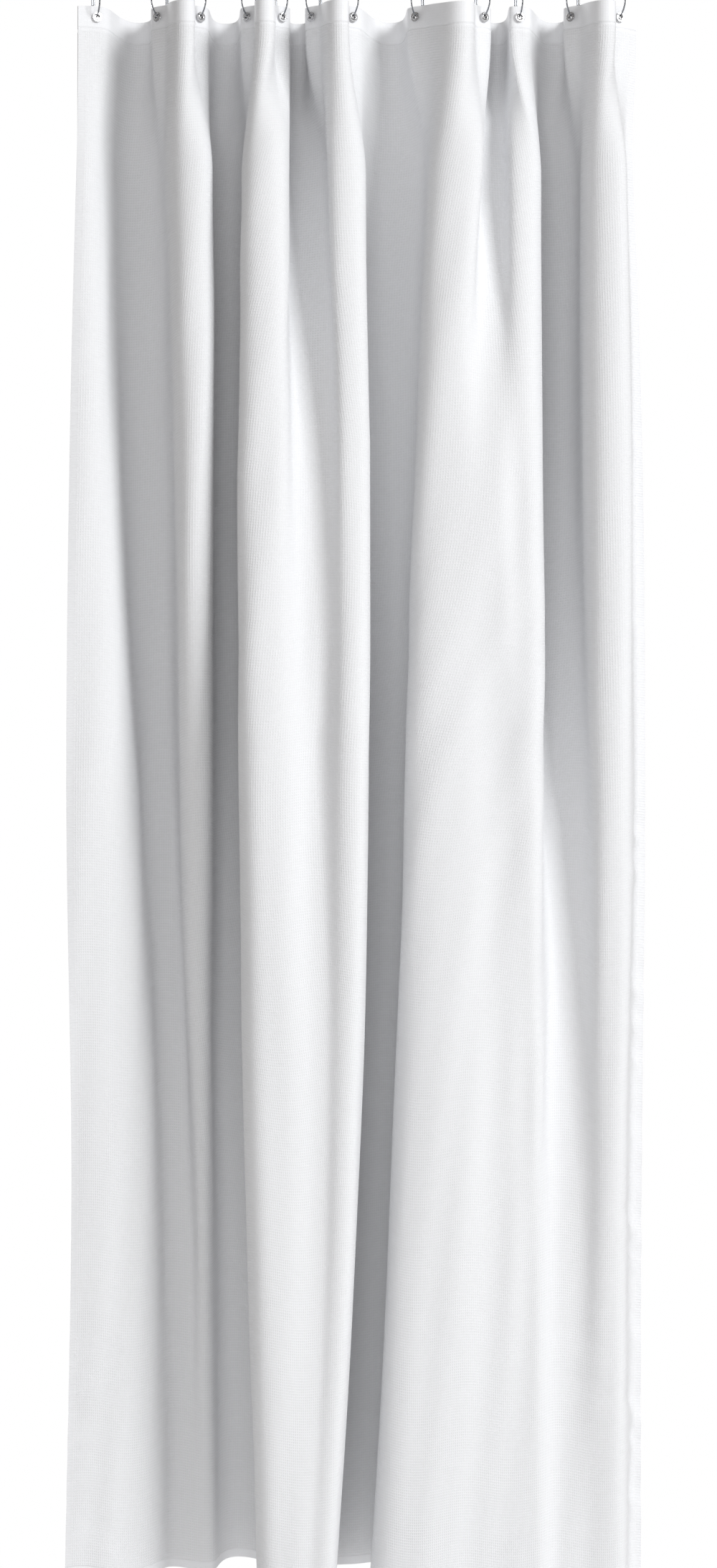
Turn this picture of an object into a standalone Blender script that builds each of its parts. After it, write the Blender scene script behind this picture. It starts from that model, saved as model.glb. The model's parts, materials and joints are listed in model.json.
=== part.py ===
"""Shower curtain: a waffle-weave cloth that hangs in folds from twelve wire rings.

Metres, +Z up. The origin is on the axis of the rod that the rings hang on, halfway along the curtain.
The front of the curtain faces -Y. "Across" is a distance along the cloth's width, from its left edge,
and "down" is a distance below its top edge.
"""
from math import cos, pi, radians, sin

import bpy
import numpy as np
from mathutils import Matrix, Vector

MM = 0.001

# ---- driving dimensions ----
CLOTH_WIDTH = 1.800
CLOTH_HEIGHT = 2.000
CLOTH_THICKNESS = 0.0014
HUNG_WIDTH = 0.745          # how wide the gathered curtain hangs
HEADER_HEIGHT = 0.030       # the stiff band along the top
HEADER_THICKNESS = 0.0009
SIDE_HEM_WIDTH = 0.012
BOTTOM_HEM_HEIGHT = 0.014
HEM_THICKNESS = 0.0009
THREAD_DIAMETER = 0.0005
SEAM_INSET = 0.002          # from a hem's inner edge to its line of stitches

EYELETS = 12
EYELET_MARGIN = 0.025       # from the cloth's side edge to the first eyelet's centre
EYELET_DROP = 0.014         # from the cloth's top edge to an eyelet's centre
EYELET_BORE = 0.0055
EYELET_WALL = 0.0005
FLANGE_DIAMETER = 0.0125
FLANGE_THICKNESS = 0.0009
WASHER_THICKNESS = 0.0006
LIP_WIDTH = 0.0007          # how far the rolled end of the barrel overhangs the washer's hole
MOUTH_BEVEL = 0.0002        # round the flange's inner edge
RIM_BEVEL = (0.0010, 0.0006)    # round the flange's outer edge: width and height

ROD_DIAMETER = 0.025        # the rod is not part of the curtain
WIRE_DIAMETER = 0.0020
RING_WIDTH = 0.040          # between the middles of the wire
RING_BELOW_ROD = 0.055      # from the rod's axis down to the middle of the wire at the ring's foot
RING_FOOT_RADIUS = 0.0205
CATCH_START = 0.017         # height above the ring's foot where the two wire ends start to overlap
CATCH_LENGTH = 0.012
CATCH_GAP = 0.0006          # between the two wire ends, side by side
CATCH_EASE = 0.005          # length of wire that leans over to lie beside its other end
LEG_START = 0.85            # height of the front leg's lower end, as a share of the foot's radius

GAP = 0.0003                # between pieces that touch

# Where each ring hangs along the rod, in millimetres from the middle of a curtain hung PLAN_WIDTH wide,
# and how far the ring's plane is turned to the right of straight ahead, in degrees.
PLAN_WIDTH = 0.745
RING_PLACES = (-335, -256, -203, -141, -98, -59, -8, 74, 160, 206, 273, 334)
RING_TURNS = (17, -27, 27, -27, 24, -27, 25, -23, 24, 10, -26, 19)
EYELET_TURN = 1.4           # an eyelet is turned this many times as far as its ring
FLAT_HALF_WIDTH = 0.0095    # the cloth is flat this far to each side of an eyelet

# Between two eyelets the cloth makes half a fold: its tip's place as a share of the gap between the two,
# and the way it points, -1 to the front and +1 to the back.
TIPS = (
    (0.66, 1), (0.72, -1), (0.50, 1), (0.55, -1), (0.50, 1), (0.70, -1),
    (0.62, 1), (0.66, -1), (0.36, 1), (0.74, 1), (0.66, -1),
)
TIP_BREADTH = 0.16          # of the cloth between two eyelets
EYELET_PULL = 0.07          # the same for the stretch that leads to an eyelet
SAG = 0.007                 # how far the cloth drops between two eyelets

# Lower down the folds drift sideways and merge. Each crest and trough gives, at each share of the height in
# LEVELS: its place across the curtain, its depth (front negative) and its breadth to the left and right.
LEVELS = (0.08, 0.25, 0.50, 0.75, 1.00)
FOLD_LINES = {
    "left_edge": ((-359, -10, 30, 30), (-367, -12, 30, 54), (-371, -16, 30, 84), (-364, -18, 30, 100),
                  (-372, -18, 30, 100)),
    "trough_1": ((-284, 64, 34, 36), (-270, 56, 44, 36), (-248, 30, 44, 20), (-222, 12, 44, 16),
                 (-213, 8, 38, 16)),
    "crest_1": ((-210, -46, 40, 40), (-206, -42, 36, 38), (-204, -22, 26, 30), (-201, 0, 20, 26),
                (-195, 8, 20, 26)),
    "trough_2": ((-172, 54, 40, 48), (-168, 48, 40, 66), (-163, 34, 38, 80), (-157, 28, 44, 90),
                 (-148, 28, 46, 94)),
    "crest_2": ((-118, -68, 46, 42), (-116, -66, 60, 36), (-117, -64, 80, 40), (-107, -68, 86, 40),
                (-95, -66, 76, 30)),
    "trough_3": ((-71, 34, 32, 42), (-58, -30, 36, 42), (-48, -54, 28, 24), (-42, -64, 20, 20),
                 (-60, -65, 16, 10)),
    "crest_3": ((-18, -46, 34, 44), (-12, -60, 30, 50), (-6, -64, 30, 80), (-17, -68, 30, 80),
                (-44, -66, 20, 70)),
    "trough_4": ((50, 56, 60, 56), (44, 46, 80, 66), (32, 28, 110, 80), (16, 22, 110, 80),
                 (-12, 22, 100, 80)),
    "crest_4": ((131, -50, 56, 50), (117, -50, 66, 40), (114, -50, 90, 50), (102, -54, 96, 60),
                (74, -52, 96, 70)),
    "trough_5": ((172, 14, 36, 36), (172, -41, 40, 30), (184, -45, 40, 20), (184, -48, 40, 30),
                 (170, -46, 60, 40)),
    "crest_5": ((207, -26, 34, 40), (206, -42, 30, 40), (212, -46, 30, 46), (217, -46, 30, 46),
                (221, -46, 36, 46)),
    "trough_6": ((264, 68, 46, 34), (263, 56, 46, 32), (260, -8, 56, 44), (257, -34, 60, 56),
                 (257, -38, 60, 56)),
    "crest_6": ((322, -42, 46, 44), (324, -42, 46, 40), (324, -42, 46, 40), (320, -44, 44, 36),
                (318, -40, 44, 36)),
    "right_edge": ((349, 0, 30, 20), (361, -6, 30, 20), (364, -16, 34, 20), (358, -22, 34, 20),
                   (357, -22, 34, 20)),
}
DEEPEST = 0.215             # from the foremost crest to the rearmost trough
SETTLE_END = 0.22           # how far down the folds made by the rings have turned into the loose ones

CURVE_PULL = 1.6            # each breadth is drawn out this much, so that the folds are round
SHORT_SPAN, DEEP_SPAN = 0.9, 30.0   # the most pull between two lines: a share, and more per metre of depth

# ---- how finely the cloth is made ----
ROWS_UNDER_HEADER = (0.09, 0.16)
LOOSE_ROW_COUNT = 8
ROW_CROWDING = 1.8          # rows lie closer together near the top, where the folds change fast
SHARPEST_MITRE = 0.3
STEPS = 24                  # points along each half of a fold, for measuring its length
FACETS_PER_SPAN = 7         # of the cloth between two eyelets, beside the flat facet at each eyelet
ROUND = 12                  # sides of the eyelets
FOOT_POINTS, CROWN_POINTS = 9, 10
SAME_PLACE = 0.00001


# ---- materials ----
def material(name, colour, roughness, metallic=0.0):
    made = bpy.data.materials.new(name)
    made.use_nodes = True
    shader = made.node_tree.nodes["Principled BSDF"]
    shader.inputs["Base Color"].default_value = (*colour, 1.0)
    shader.inputs["Roughness"].default_value = roughness
    shader.inputs["Metallic"].default_value = metallic
    return made


# ---- the cloth's section ----
def bezier(start, start_pull, end_pull, end):
    """Points of a cubic Bezier curve, without its last one."""
    u = np.linspace(0, 1, STEPS, endpoint=False)[:, None]
    return (
        (1 - u) ** 3 * np.array(start)
        + 3 * (1 - u) ** 2 * u * np.array(start_pull)
        + 3 * (1 - u) * u**2 * np.array(end_pull)
        + u**3 * np.array(end)
    )


def distances_along(line):
    return np.concatenate([[0], np.hypot(*np.diff(line, axis=0).T).cumsum()])


def solve(measure, wanted, low, high):
    """The value between low and high that makes a rising measure reach what is wanted."""
    for _ in range(36):
        middle = (low + high) / 2
        if measure(middle) < wanted:
            low = middle
        else:
            high = middle
    return (low + high) / 2


def eyelet_across(k):
    return EYELET_MARGIN + k * (CLOTH_WIDTH - 2 * EYELET_MARGIN) / (EYELETS - 1)


def eyelet_spot(k):
    return np.array([RING_PLACES[k] * MM * HUNG_WIDTH / PLAN_WIDTH, 0.0])


def along_cloth(k):
    """The way the cloth runs to the right through eyelet k."""
    angle = radians(RING_TURNS[k] * EYELET_TURN)
    return np.array([cos(angle), sin(angle)])


def header_section():
    """The section along the eyelets: flat at each one, and between them half a fold."""
    pitch = eyelet_across(1) - eyelet_across(0)
    last = EYELETS - 1
    points = [(eyelet_spot(0) - EYELET_MARGIN * along_cloth(0))[None]]
    for k, (share, way) in enumerate(TIPS):
        left = eyelet_spot(k) + FLAT_HALF_WIDTH * along_cloth(k)
        right = eyelet_spot(k + 1) - FLAT_HALF_WIDTH * along_cloth(k + 1)
        tip_x = eyelet_spot(k)[0] + share * (eyelet_spot(k + 1) - eyelet_spot(k))[0]
        sideways = np.array([TIP_BREADTH * pitch, 0])

        def half_fold(depth):
            tip = np.array([tip_x, way * depth])
            return np.vstack([
                bezier(left, left + EYELET_PULL * pitch * along_cloth(k), tip - sideways, tip),
                bezier(tip, tip + sideways, right - EYELET_PULL * pitch * along_cloth(k + 1), right),
                right[None],
            ])

        free = pitch - 2 * FLAT_HALF_WIDTH
        points.append(half_fold(solve(lambda d: distances_along(half_fold(d))[-1], free, 0.0, pitch)))
    points.append((eyelet_spot(last) + EYELET_MARGIN * along_cloth(last))[None])
    return np.vstack(points)


def between_levels(values, share):
    """A smooth curve through the values at LEVELS."""
    levels, values = np.array(LEVELS), np.array(values, float)
    slopes = np.gradient(values, levels, axis=0)
    share = max(share, LEVELS[0])
    j = int(np.clip(np.searchsorted(levels, share) - 1, 0, len(levels) - 2))
    width = levels[j + 1] - levels[j]
    u = (share - levels[j]) / width
    return (
        (2 * u**3 - 3 * u**2 + 1) * values[j]
        + (u**3 - 2 * u**2 + u) * width * slopes[j]
        + (3 * u**2 - 2 * u**3) * values[j + 1]
        + (u**3 - u**2) * width * slopes[j + 1]
    )


def loose_section(share):
    """The section at a share of the height: its folds are as deep as the cloth's width makes them."""
    sideways = MM * HUNG_WIDTH / PLAN_WIDTH
    x, y, left, right = np.array([between_levels(line, share) for line in FOLD_LINES.values()]).T
    x, y = x * sideways, y * MM
    left, right = CURVE_PULL * left * sideways, CURVE_PULL * right * sideways

    def section(depth):
        points = []
        for i in range(len(x) - 1):
            most = (x[i + 1] - x[i]) * (SHORT_SPAN + DEEP_SPAN * abs(y[i + 1] - y[i]))
            fit = min(1.0, most / (right[i] + left[i + 1]))
            start, end = np.array([x[i], depth * y[i]]), np.array([x[i + 1], depth * y[i + 1]])
            points.append(bezier(start, start + (fit * right[i], 0), end - (fit * left[i + 1], 0), end))
        points.append(np.array([[x[-1], depth * y[-1]]]))
        return np.vstack(points)

    most_depth = DEEPEST / np.ptp(y)
    return section(solve(lambda d: distances_along(section(d))[-1], CLOTH_WIDTH, 0.0, most_depth))


def places_on(line, across):
    along = distances_along(line)
    along *= CLOTH_WIDTH / along[-1]
    return np.column_stack([np.interp(across, along, line[:, c]) for c in (0, 1)])


HEADER_SECTION = header_section()


def cloth_row(across, down):
    """Points (x, y) of the cloth's front face at these distances across, this far down."""
    header = places_on(HEADER_SECTION, across)
    if down <= HEADER_HEIGHT:
        return header
    loose = places_on(loose_section(down / CLOTH_HEIGHT), across)
    u = min(1.0, (down - HEADER_HEIGHT) / (SETTLE_END - HEADER_HEIGHT))
    settled = u * u * (3 - 2 * u)
    return header * (1 - settled) + loose * settled


def sag_at(across):
    pitch = eyelet_across(1) - eyelet_across(0)
    return SAG * np.sin(pi * (np.asarray(across) - EYELET_MARGIN) / pitch) ** 2


# Heights along an eyelet's axis, from the cloth's front face towards the front.
BEHIND = CLOTH_THICKNESS + GAP
FLANGE_BACK = GAP
FLANGE_FRONT = FLANGE_BACK + FLANGE_THICKNESS
WASHER_FRONT = -(BEHIND + HEADER_THICKNESS + GAP)
WASHER_BACK = WASHER_FRONT - WASHER_THICKNESS
LIP_FRONT = WASHER_BACK - GAP
LIP_BACK = LIP_FRONT - EYELET_WALL
BARREL_MIDDLE = (FLANGE_FRONT + LIP_BACK) / 2

# The cloth hangs with each bore's top just above the wire, which rises a little towards the bore's ends.
RING_FOOT_Z = -RING_BELOW_ROD
WIRE_RISE = (FLANGE_FRONT - BARREL_MIDDLE) ** 2 / (2 * RING_FOOT_RADIUS)
BORE_TOP = EYELET_BORE / 2 * cos(pi / ROUND)
EYELET_Z = RING_FOOT_Z - (BORE_TOP - WIRE_DIAMETER / 2 - WIRE_RISE - GAP)
TOP_EDGE_Z = EYELET_Z + EYELET_DROP


def stepped_back(row, distance):
    """The row of points moved back from the cloth's front, at right angles to it."""
    ways = np.diff(row, axis=0)
    ways /= np.hypot(*ways.T)[:, None]
    before, after = np.vstack([ways[:1], ways]), np.vstack([ways, ways[-1:]])
    middle = before + after
    middle /= np.hypot(*middle.T)[:, None]
    stretch = distance / np.maximum(SHARPEST_MITRE, (middle * after).sum(1))
    return row + np.column_stack([-middle[:, 1], middle[:, 0]]) * stretch[:, None]


SIDE_SEAM = SIDE_HEM_WIDTH - SEAM_INSET


def facet_edges():
    """Distances across the cloth where its facets meet: at the side hems, and beside each eyelet's flat."""
    margin = [0.0, SIDE_SEAM, SIDE_HEM_WIDTH]
    edges = margin + [CLOTH_WIDTH - place for place in margin]
    for k in range(EYELETS):
        edges += [eyelet_across(k) - FLAT_HALF_WIDTH, eyelet_across(k) + FLAT_HALF_WIDTH]
    for k in range(EYELETS - 1):
        start, end = eyelet_across(k) + FLAT_HALF_WIDTH, eyelet_across(k + 1) - FLAT_HALF_WIDTH
        edges += list(np.linspace(start, end, FACETS_PER_SPAN + 1)[1:-1])
    return np.array(sorted(edges))


ACROSS = facet_edges()
BOTTOM_HEM_TOP = CLOTH_HEIGHT - BOTTOM_HEM_HEIGHT
LOOSE_ROWS = SETTLE_END + (BOTTOM_HEM_TOP - SETTLE_END) * np.linspace(0, 1, LOOSE_ROW_COUNT) ** ROW_CROWDING
DOWN = [0.0, HEADER_HEIGHT, *ROWS_UNDER_HEADER, *LOOSE_ROWS, CLOTH_HEIGHT]
CLOTH_ROWS = [cloth_row(ACROSS, down) for down in DOWN]


def grid(across, down, back):
    """Rows of points on the cloth's facets, or at a distance behind them."""
    rows = []
    for row, row_down in zip(CLOTH_ROWS, DOWN):
        x, y = stepped_back(row, back).T
        z = TOP_EDGE_Z - row_down - sag_at(ACROSS)
        rows.append([np.interp(across, ACROSS, values) for values in (x, y, z)])
    rows = np.array(rows)
    found = [[np.interp(down, DOWN, rows[:, c, i]) for i in range(len(across))] for c in range(3)]
    return np.array(found).transpose(2, 1, 0)


def keep(found, name, look):
    """Puts a finished object in the curtain's collection, under its own name."""
    found.name = name
    found.data.name = name
    found.data.materials.clear()
    found.data.materials.append(look)
    for collection in list(found.users_collection):
        collection.objects.unlink(found)
    curtain.objects.link(found)
    return found


def layer(name, across, down, back, thickness, look):
    """A layer of cloth: an open surface, thickened towards the back."""
    points = grid(across, down, back)
    columns = points.shape[1]
    corners = np.arange(points.shape[0] * columns).reshape(-1, columns)
    faces = np.stack([corners[:-1, :-1], corners[1:, :-1], corners[1:, 1:], corners[:-1, 1:]], axis=2)
    mesh = bpy.data.meshes.new(name)
    mesh.from_pydata(points.reshape(-1, 3).tolist(), [], faces.reshape(-1, 4).tolist())
    made = keep(bpy.data.objects.new(name, mesh), name, look)
    solid = made.modifiers.new("thickness", "SOLIDIFY")
    solid.thickness = thickness
    solid.offset = -1
    solid.use_even_offset = True
    solid.use_quality_normals = True
    return made


def thread(name, points):
    """A line of stitches, as one strand along the points."""
    curve = bpy.data.curves.new(name, "CURVE")
    curve.dimensions = "3D"
    curve.bevel_depth = THREAD_DIAMETER / 2
    curve.bevel_resolution = 0
    curve.use_fill_caps = True
    spline = curve.splines.new("POLY")
    spline.points.add(len(points) - 1)
    for place, point in zip(spline.points, points):
        place.co = (*point, 1.0)
    return keep(bpy.data.objects.new(name, curve), name, THREAD_LOOK)


# ---- start ----
for old in list(bpy.data.objects):
    bpy.data.objects.remove(old, do_unlink=True)
curtain = bpy.data.collections.new("shower_curtain")
cutters = bpy.data.collections.new("cutters")
for collection in (curtain, cutters):
    bpy.context.scene.collection.children.link(collection)

CLOTH_LOOK = material("waffle_cotton", (0.86, 0.87, 0.90), 0.9)
HEADER_LOOK = material("header_cotton", (0.84, 0.85, 0.88), 0.85)
HEM_LOOK = material("hem_cotton", (0.85, 0.86, 0.89), 0.88)
THREAD_LOOK = material("white_thread", (0.88, 0.88, 0.90), 0.6)
EYELET_LOOK = material("bright_nickel", (0.72, 0.72, 0.73), 0.18, 1.0)
WASHER_LOOK = material("nickel_washer", (0.66, 0.66, 0.67), 0.25, 1.0)
WIRE_LOOK = material("chrome_wire", (0.60, 0.61, 0.63), 0.08, 1.0)

# ---- cloth, header band and hems ----
panel = layer("waffle_panel", ACROSS, DOWN, 0.0, CLOTH_THICKNESS, CLOTH_LOOK)
header = layer("header_tape", ACROSS, DOWN[:2], BEHIND, HEADER_THICKNESS, HEADER_LOOK)

under_header = HEADER_HEIGHT + GAP
above_bottom_hem = BOTTOM_HEM_TOP - GAP
side_down = [under_header] + [d for d in DOWN if under_header < d < above_bottom_hem] + [above_bottom_hem]
layer("left_hem", ACROSS[:3], side_down, BEHIND, HEM_THICKNESS, HEM_LOOK)
layer("right_hem", ACROSS[-3:], side_down, BEHIND, HEM_THICKNESS, HEM_LOOK)
layer("bottom_hem", ACROSS, [BOTTOM_HEM_TOP, CLOTH_HEIGHT], BEHIND, HEM_THICKNESS, HEM_LOOK)

# ---- lines of stitches on the front ----
AHEAD = -(GAP + THREAD_DIAMETER / 2)
header_line = HEADER_HEIGHT - SEAM_INSET
bottom_line = BOTTOM_HEM_TOP + SEAM_INSET
thread("header_stitching", grid(ACROSS, [header_line], AHEAD)[0])
thread("bottom_stitching", grid(ACROSS[1:-1], [bottom_line], AHEAD)[0])
clear_of_rows = 4 * THREAD_DIAMETER
side_rows = [header_line + clear_of_rows, *DOWN[2:-1], bottom_line - clear_of_rows]
for side, seam in (("left", ACROSS[1:2]), ("right", ACROSS[-2:-1])):
    thread(f"{side}_stitching", grid(seam, side_rows, AHEAD)[:, 0])


# ---- eyelets ----
def turned(name, profile, look):
    """A ring with this closed profile of (radius, height), turned about its own Z axis."""
    mesh = bpy.data.meshes.new(name)
    points = [(radius, 0.0, height) for radius, height in profile]
    mesh.from_pydata(points, [(i, (i + 1) % len(points)) for i in range(len(points))], [])
    made = keep(bpy.data.objects.new(name, mesh), name, look)
    screw = made.modifiers.new("turn", "SCREW")
    screw.steps = ROUND
    screw.render_steps = ROUND
    screw.use_merge_vertices = True
    screw.merge_threshold = SAME_PLACE
    return made


BORE = EYELET_BORE / 2
BARREL = BORE + EYELET_WALL
HOLE = BARREL + GAP                                  # in the cloth, the header tape and the washer
FLANGE = FLANGE_DIAMETER / 2
LIP = HOLE + LIP_WIDTH
CUTTER_DEPTH = 0.010

# Height 0 is the front face of the cloth, and the front is up. Each profile runs down its outer side.
EYELET_PROFILE = (
    (BORE + MOUTH_BEVEL, FLANGE_FRONT),
    (FLANGE - RIM_BEVEL[0], FLANGE_FRONT),
    (FLANGE, FLANGE_FRONT - RIM_BEVEL[1]),
    (FLANGE, FLANGE_BACK),
    (BARREL, FLANGE_BACK),
    (BARREL, LIP_FRONT),
    (LIP, LIP_FRONT),
    (LIP, LIP_BACK),
    (BORE, LIP_BACK),
    (BORE, FLANGE_FRONT - MOUTH_BEVEL),
)
WASHER_PROFILE = (
    (HOLE, WASHER_FRONT),
    (FLANGE, WASHER_FRONT),
    (FLANGE, WASHER_BACK),
    (HOLE, WASHER_BACK),
)


def facing(turn):
    """A turn that takes local +Z to the front, turned to the right by this many degrees."""
    ahead = Vector((sin(radians(turn)), -cos(radians(turn)), 0.0))
    up = Vector((0.0, 0.0, 1.0))
    sideways = up.cross(ahead)
    return Matrix((sideways, up, ahead)).transposed().to_4x4()


def eyelet_frame(k):
    x, y = places_on(HEADER_SECTION, np.array([eyelet_across(k)]))[0]
    return Matrix.Translation((x, y, EYELET_Z)) @ facing(RING_TURNS[k] * EYELET_TURN)


def hole_cutter(k):
    bpy.ops.mesh.primitive_cylinder_add(vertices=ROUND, radius=HOLE, depth=CUTTER_DEPTH)
    cutter = bpy.context.object
    cutter.name = f"hole_{k + 1:02d}"
    cutter.matrix_world = eyelet_frame(k)
    cutter.hide_render = True
    cutter.display_type = "WIRE"
    for collection in list(cutter.users_collection):
        collection.objects.unlink(cutter)
    cutters.objects.link(cutter)


for k in range(EYELETS):
    hole_cutter(k)
    turned(f"eyelet_{k + 1:02d}", EYELET_PROFILE, EYELET_LOOK).matrix_world = eyelet_frame(k)
    turned(f"washer_{k + 1:02d}", WASHER_PROFILE, WASHER_LOOK).matrix_world = eyelet_frame(k)
for sheet in (panel, header):
    cut = sheet.modifiers.new("eyelet_holes", "BOOLEAN")
    cut.operand_type = "COLLECTION"
    cut.collection = cutters
    cut.operation = "DIFFERENCE"
    cut.solver = "EXACT"


# ---- rings ----
def arc(centre, radius, start, end, steps):
    """Points (ahead, up) on an arc, its angles in degrees from straight ahead towards up."""
    return [
        (centre[0] + radius * cos(radians(a)), centre[1] + radius * sin(radians(a)))
        for a in np.linspace(start, end, steps)
    ]


def ring_path():
    """The middle of the wire, as (sideways, ahead, up) from the ring's foot, which passes the eyelet.

    The wire starts beside its own end on the back leg, runs down and round the foot, up the front leg and
    over the rod, and ends a catch's length below its start.
    """
    half = RING_WIDTH / 2
    top_up = RING_BELOW_ROD + (ROD_DIAMETER + WIRE_DIAMETER) / 2 + GAP
    crown_up = top_up - half
    catch_top = CATCH_START + CATCH_LENGTH
    beside = (WIRE_DIAMETER + CATCH_GAP) / 2
    foot = arc((0, RING_FOOT_RADIUS), RING_FOOT_RADIUS, -145, -35, FOOT_POINTS)
    crown = arc((0, crown_up), half, 0, 180, CROWN_POINTS)
    middle = [(0.0, *p) for p in foot + [(half, RING_FOOT_RADIUS * LEG_START)] + crown]
    catch_bottom = CATCH_START - CATCH_EASE
    start = [(beside, -half, catch_top), (beside, -half, CATCH_START), (0.0, -half, catch_bottom)]
    end = [(0.0, -half, catch_top + CATCH_EASE), (-beside, -half, catch_top), (-beside, -half, CATCH_START)]
    return start + middle + end


def ring(k):
    name = f"ring_{k + 1:02d}"
    curve = bpy.data.curves.new(name, "CURVE")
    curve.dimensions = "3D"
    curve.bevel_depth = WIRE_DIAMETER / 2
    curve.bevel_resolution = 2
    curve.use_fill_caps = True
    path = ring_path()
    spline = curve.splines.new("POLY")
    spline.points.add(len(path) - 1)
    for place, (sideways, ahead, up) in zip(spline.points, path):
        place.co = (sideways, up, ahead, 1.0)
    made = keep(bpy.data.objects.new(name, curve), name, WIRE_LOOK)
    x, y, _ = eyelet_frame(k) @ Vector((0, 0, BARREL_MIDDLE))
    made.matrix_world = Matrix.Translation((x, y, RING_FOOT_Z)) @ facing(RING_TURNS[k])
    return made


for k in range(EYELETS):
    ring(k)
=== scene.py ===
"""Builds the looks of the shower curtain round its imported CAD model.

Metres, +Z up. The origin is on the axis of the rod that the rings hang on, halfway along the curtain, and
its front faces -Y. "Across" is a distance along the cloth's width from its left edge, and "down" is a
distance below its top edge.
"""

import json
from math import atan2, cos, pi, radians, sin

import bpy
import numpy as np
from mathutils import Matrix, Vector


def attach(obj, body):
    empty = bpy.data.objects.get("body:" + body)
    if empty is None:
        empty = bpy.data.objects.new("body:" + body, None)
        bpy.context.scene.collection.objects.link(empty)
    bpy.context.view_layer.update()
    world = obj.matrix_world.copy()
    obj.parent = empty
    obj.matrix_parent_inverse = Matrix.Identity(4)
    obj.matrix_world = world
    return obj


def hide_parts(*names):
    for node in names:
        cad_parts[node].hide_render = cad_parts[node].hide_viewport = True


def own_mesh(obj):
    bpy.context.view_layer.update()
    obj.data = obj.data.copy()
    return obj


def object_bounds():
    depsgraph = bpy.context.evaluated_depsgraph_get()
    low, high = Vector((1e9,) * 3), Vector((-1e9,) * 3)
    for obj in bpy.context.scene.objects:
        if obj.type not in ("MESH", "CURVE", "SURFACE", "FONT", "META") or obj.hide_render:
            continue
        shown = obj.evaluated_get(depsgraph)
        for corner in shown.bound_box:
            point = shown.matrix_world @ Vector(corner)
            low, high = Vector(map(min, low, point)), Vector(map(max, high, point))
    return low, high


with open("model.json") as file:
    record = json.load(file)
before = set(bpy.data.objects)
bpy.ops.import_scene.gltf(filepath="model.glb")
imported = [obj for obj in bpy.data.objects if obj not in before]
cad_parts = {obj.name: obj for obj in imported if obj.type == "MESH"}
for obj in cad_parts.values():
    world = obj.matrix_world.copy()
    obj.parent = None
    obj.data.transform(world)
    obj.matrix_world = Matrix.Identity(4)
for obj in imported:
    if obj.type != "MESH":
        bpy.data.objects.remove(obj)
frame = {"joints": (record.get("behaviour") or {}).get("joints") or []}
cad_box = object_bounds()
scene = bpy.context.scene

# ---- camera ----
# A level view from straight in front, at half the curtain's height. The frame's top cuts the rings and
# its bottom edge meets the foot of the cloth.
VIEW_FROM = (0.0, -4.2, -1.038)
camera = bpy.data.objects.new("camera", bpy.data.cameras.new("camera"))
scene.collection.objects.link(camera)
camera.location = VIEW_FROM
camera.rotation_euler = (pi / 2, 0.0, 0.0)
camera.data.sensor_width = 36.0
camera.data.lens = 75.3
scene.camera = camera

# ---- room ----
# A pale floor under the hem, and a plain white room that gives soft light from all round.
floor_mesh = bpy.data.meshes.new("floor")
floor_mesh.from_pydata([(-2, -3, 0), (2, -3, 0), (2, 0.3, 0), (-2, 0.3, 0)], [], [(0, 1, 2, 3)])
FLOOR_BELOW_HEM = 0.10
floor_mesh.transform(Matrix.Translation((0, 0, cad_box[0].z - FLOOR_BELOW_HEM)))
floor = bpy.data.objects.new("floor", floor_mesh)
scene.collection.objects.link(floor)
floor_paint = bpy.data.materials.new("floor_paint")
floor_paint.use_nodes = True
floor_shader = floor_paint.node_tree.nodes["Principled BSDF"]
floor_shader.inputs["Base Color"].default_value = (0.90, 0.90, 0.90, 1.0)
floor_shader.inputs["Roughness"].default_value = 0.9
floor_mesh.materials.append(floor_paint)

world = bpy.data.worlds.new("white_room")
world.use_nodes = True
scene.world = world
room = world.node_tree.nodes
room["Background"].inputs["Color"].default_value = (1.0, 0.965, 0.93, 1.0)
room["Background"].inputs["Strength"].default_value = 0.31
seen = room.new("ShaderNodeBackground")
seen.inputs["Color"].default_value = (1.0, 1.0, 1.0, 1.0)
seen.inputs["Strength"].default_value = 1.0
ray = room.new("ShaderNodeLightPath")
pick = room.new("ShaderNodeMixShader")
world.node_tree.links.new(ray.outputs["Is Camera Ray"], pick.inputs[0])
world.node_tree.links.new(room["Background"].outputs[0], pick.inputs[1])
world.node_tree.links.new(seen.outputs[0], pick.inputs[2])
world.node_tree.links.new(pick.outputs[0], room["World Output"].inputs["Surface"])
scene.view_settings.view_transform = "Standard"

# ---- lamps ----
# A soft box stands well to the right, in front and above, so that each fold shades the trough on its left.
# A weaker one fills from beside the camera, and a third lights the back.
CURTAIN_MIDDLE = (cad_box[0] + cad_box[1]) / 2


def soft_box(name, place, size, power, tint):
    data = bpy.data.lights.new(name, "AREA")
    data.shape = "RECTANGLE"
    data.size, data.size_y = size
    data.energy = power
    data.color = tint
    lamp = bpy.data.objects.new(name, data)
    lamp.location = place
    lamp.rotation_euler = (CURTAIN_MIDDLE - Vector(place)).to_track_quat("-Z", "Y").to_euler()
    scene.collection.objects.link(lamp)


soft_box("key_light", (5.2, -4.7, 2.7), (2.6, 2.6), 450.0, (0.98, 0.99, 1.0))
soft_box("front_light", (-0.2, -4.8, -0.9), (1.6, 1.6), 44.0, (0.99, 0.99, 1.0))
soft_box("back_light", (-2.6, 4.6, 1.2), (2.4, 2.4), 170.0, (0.99, 0.99, 1.0))

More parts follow.
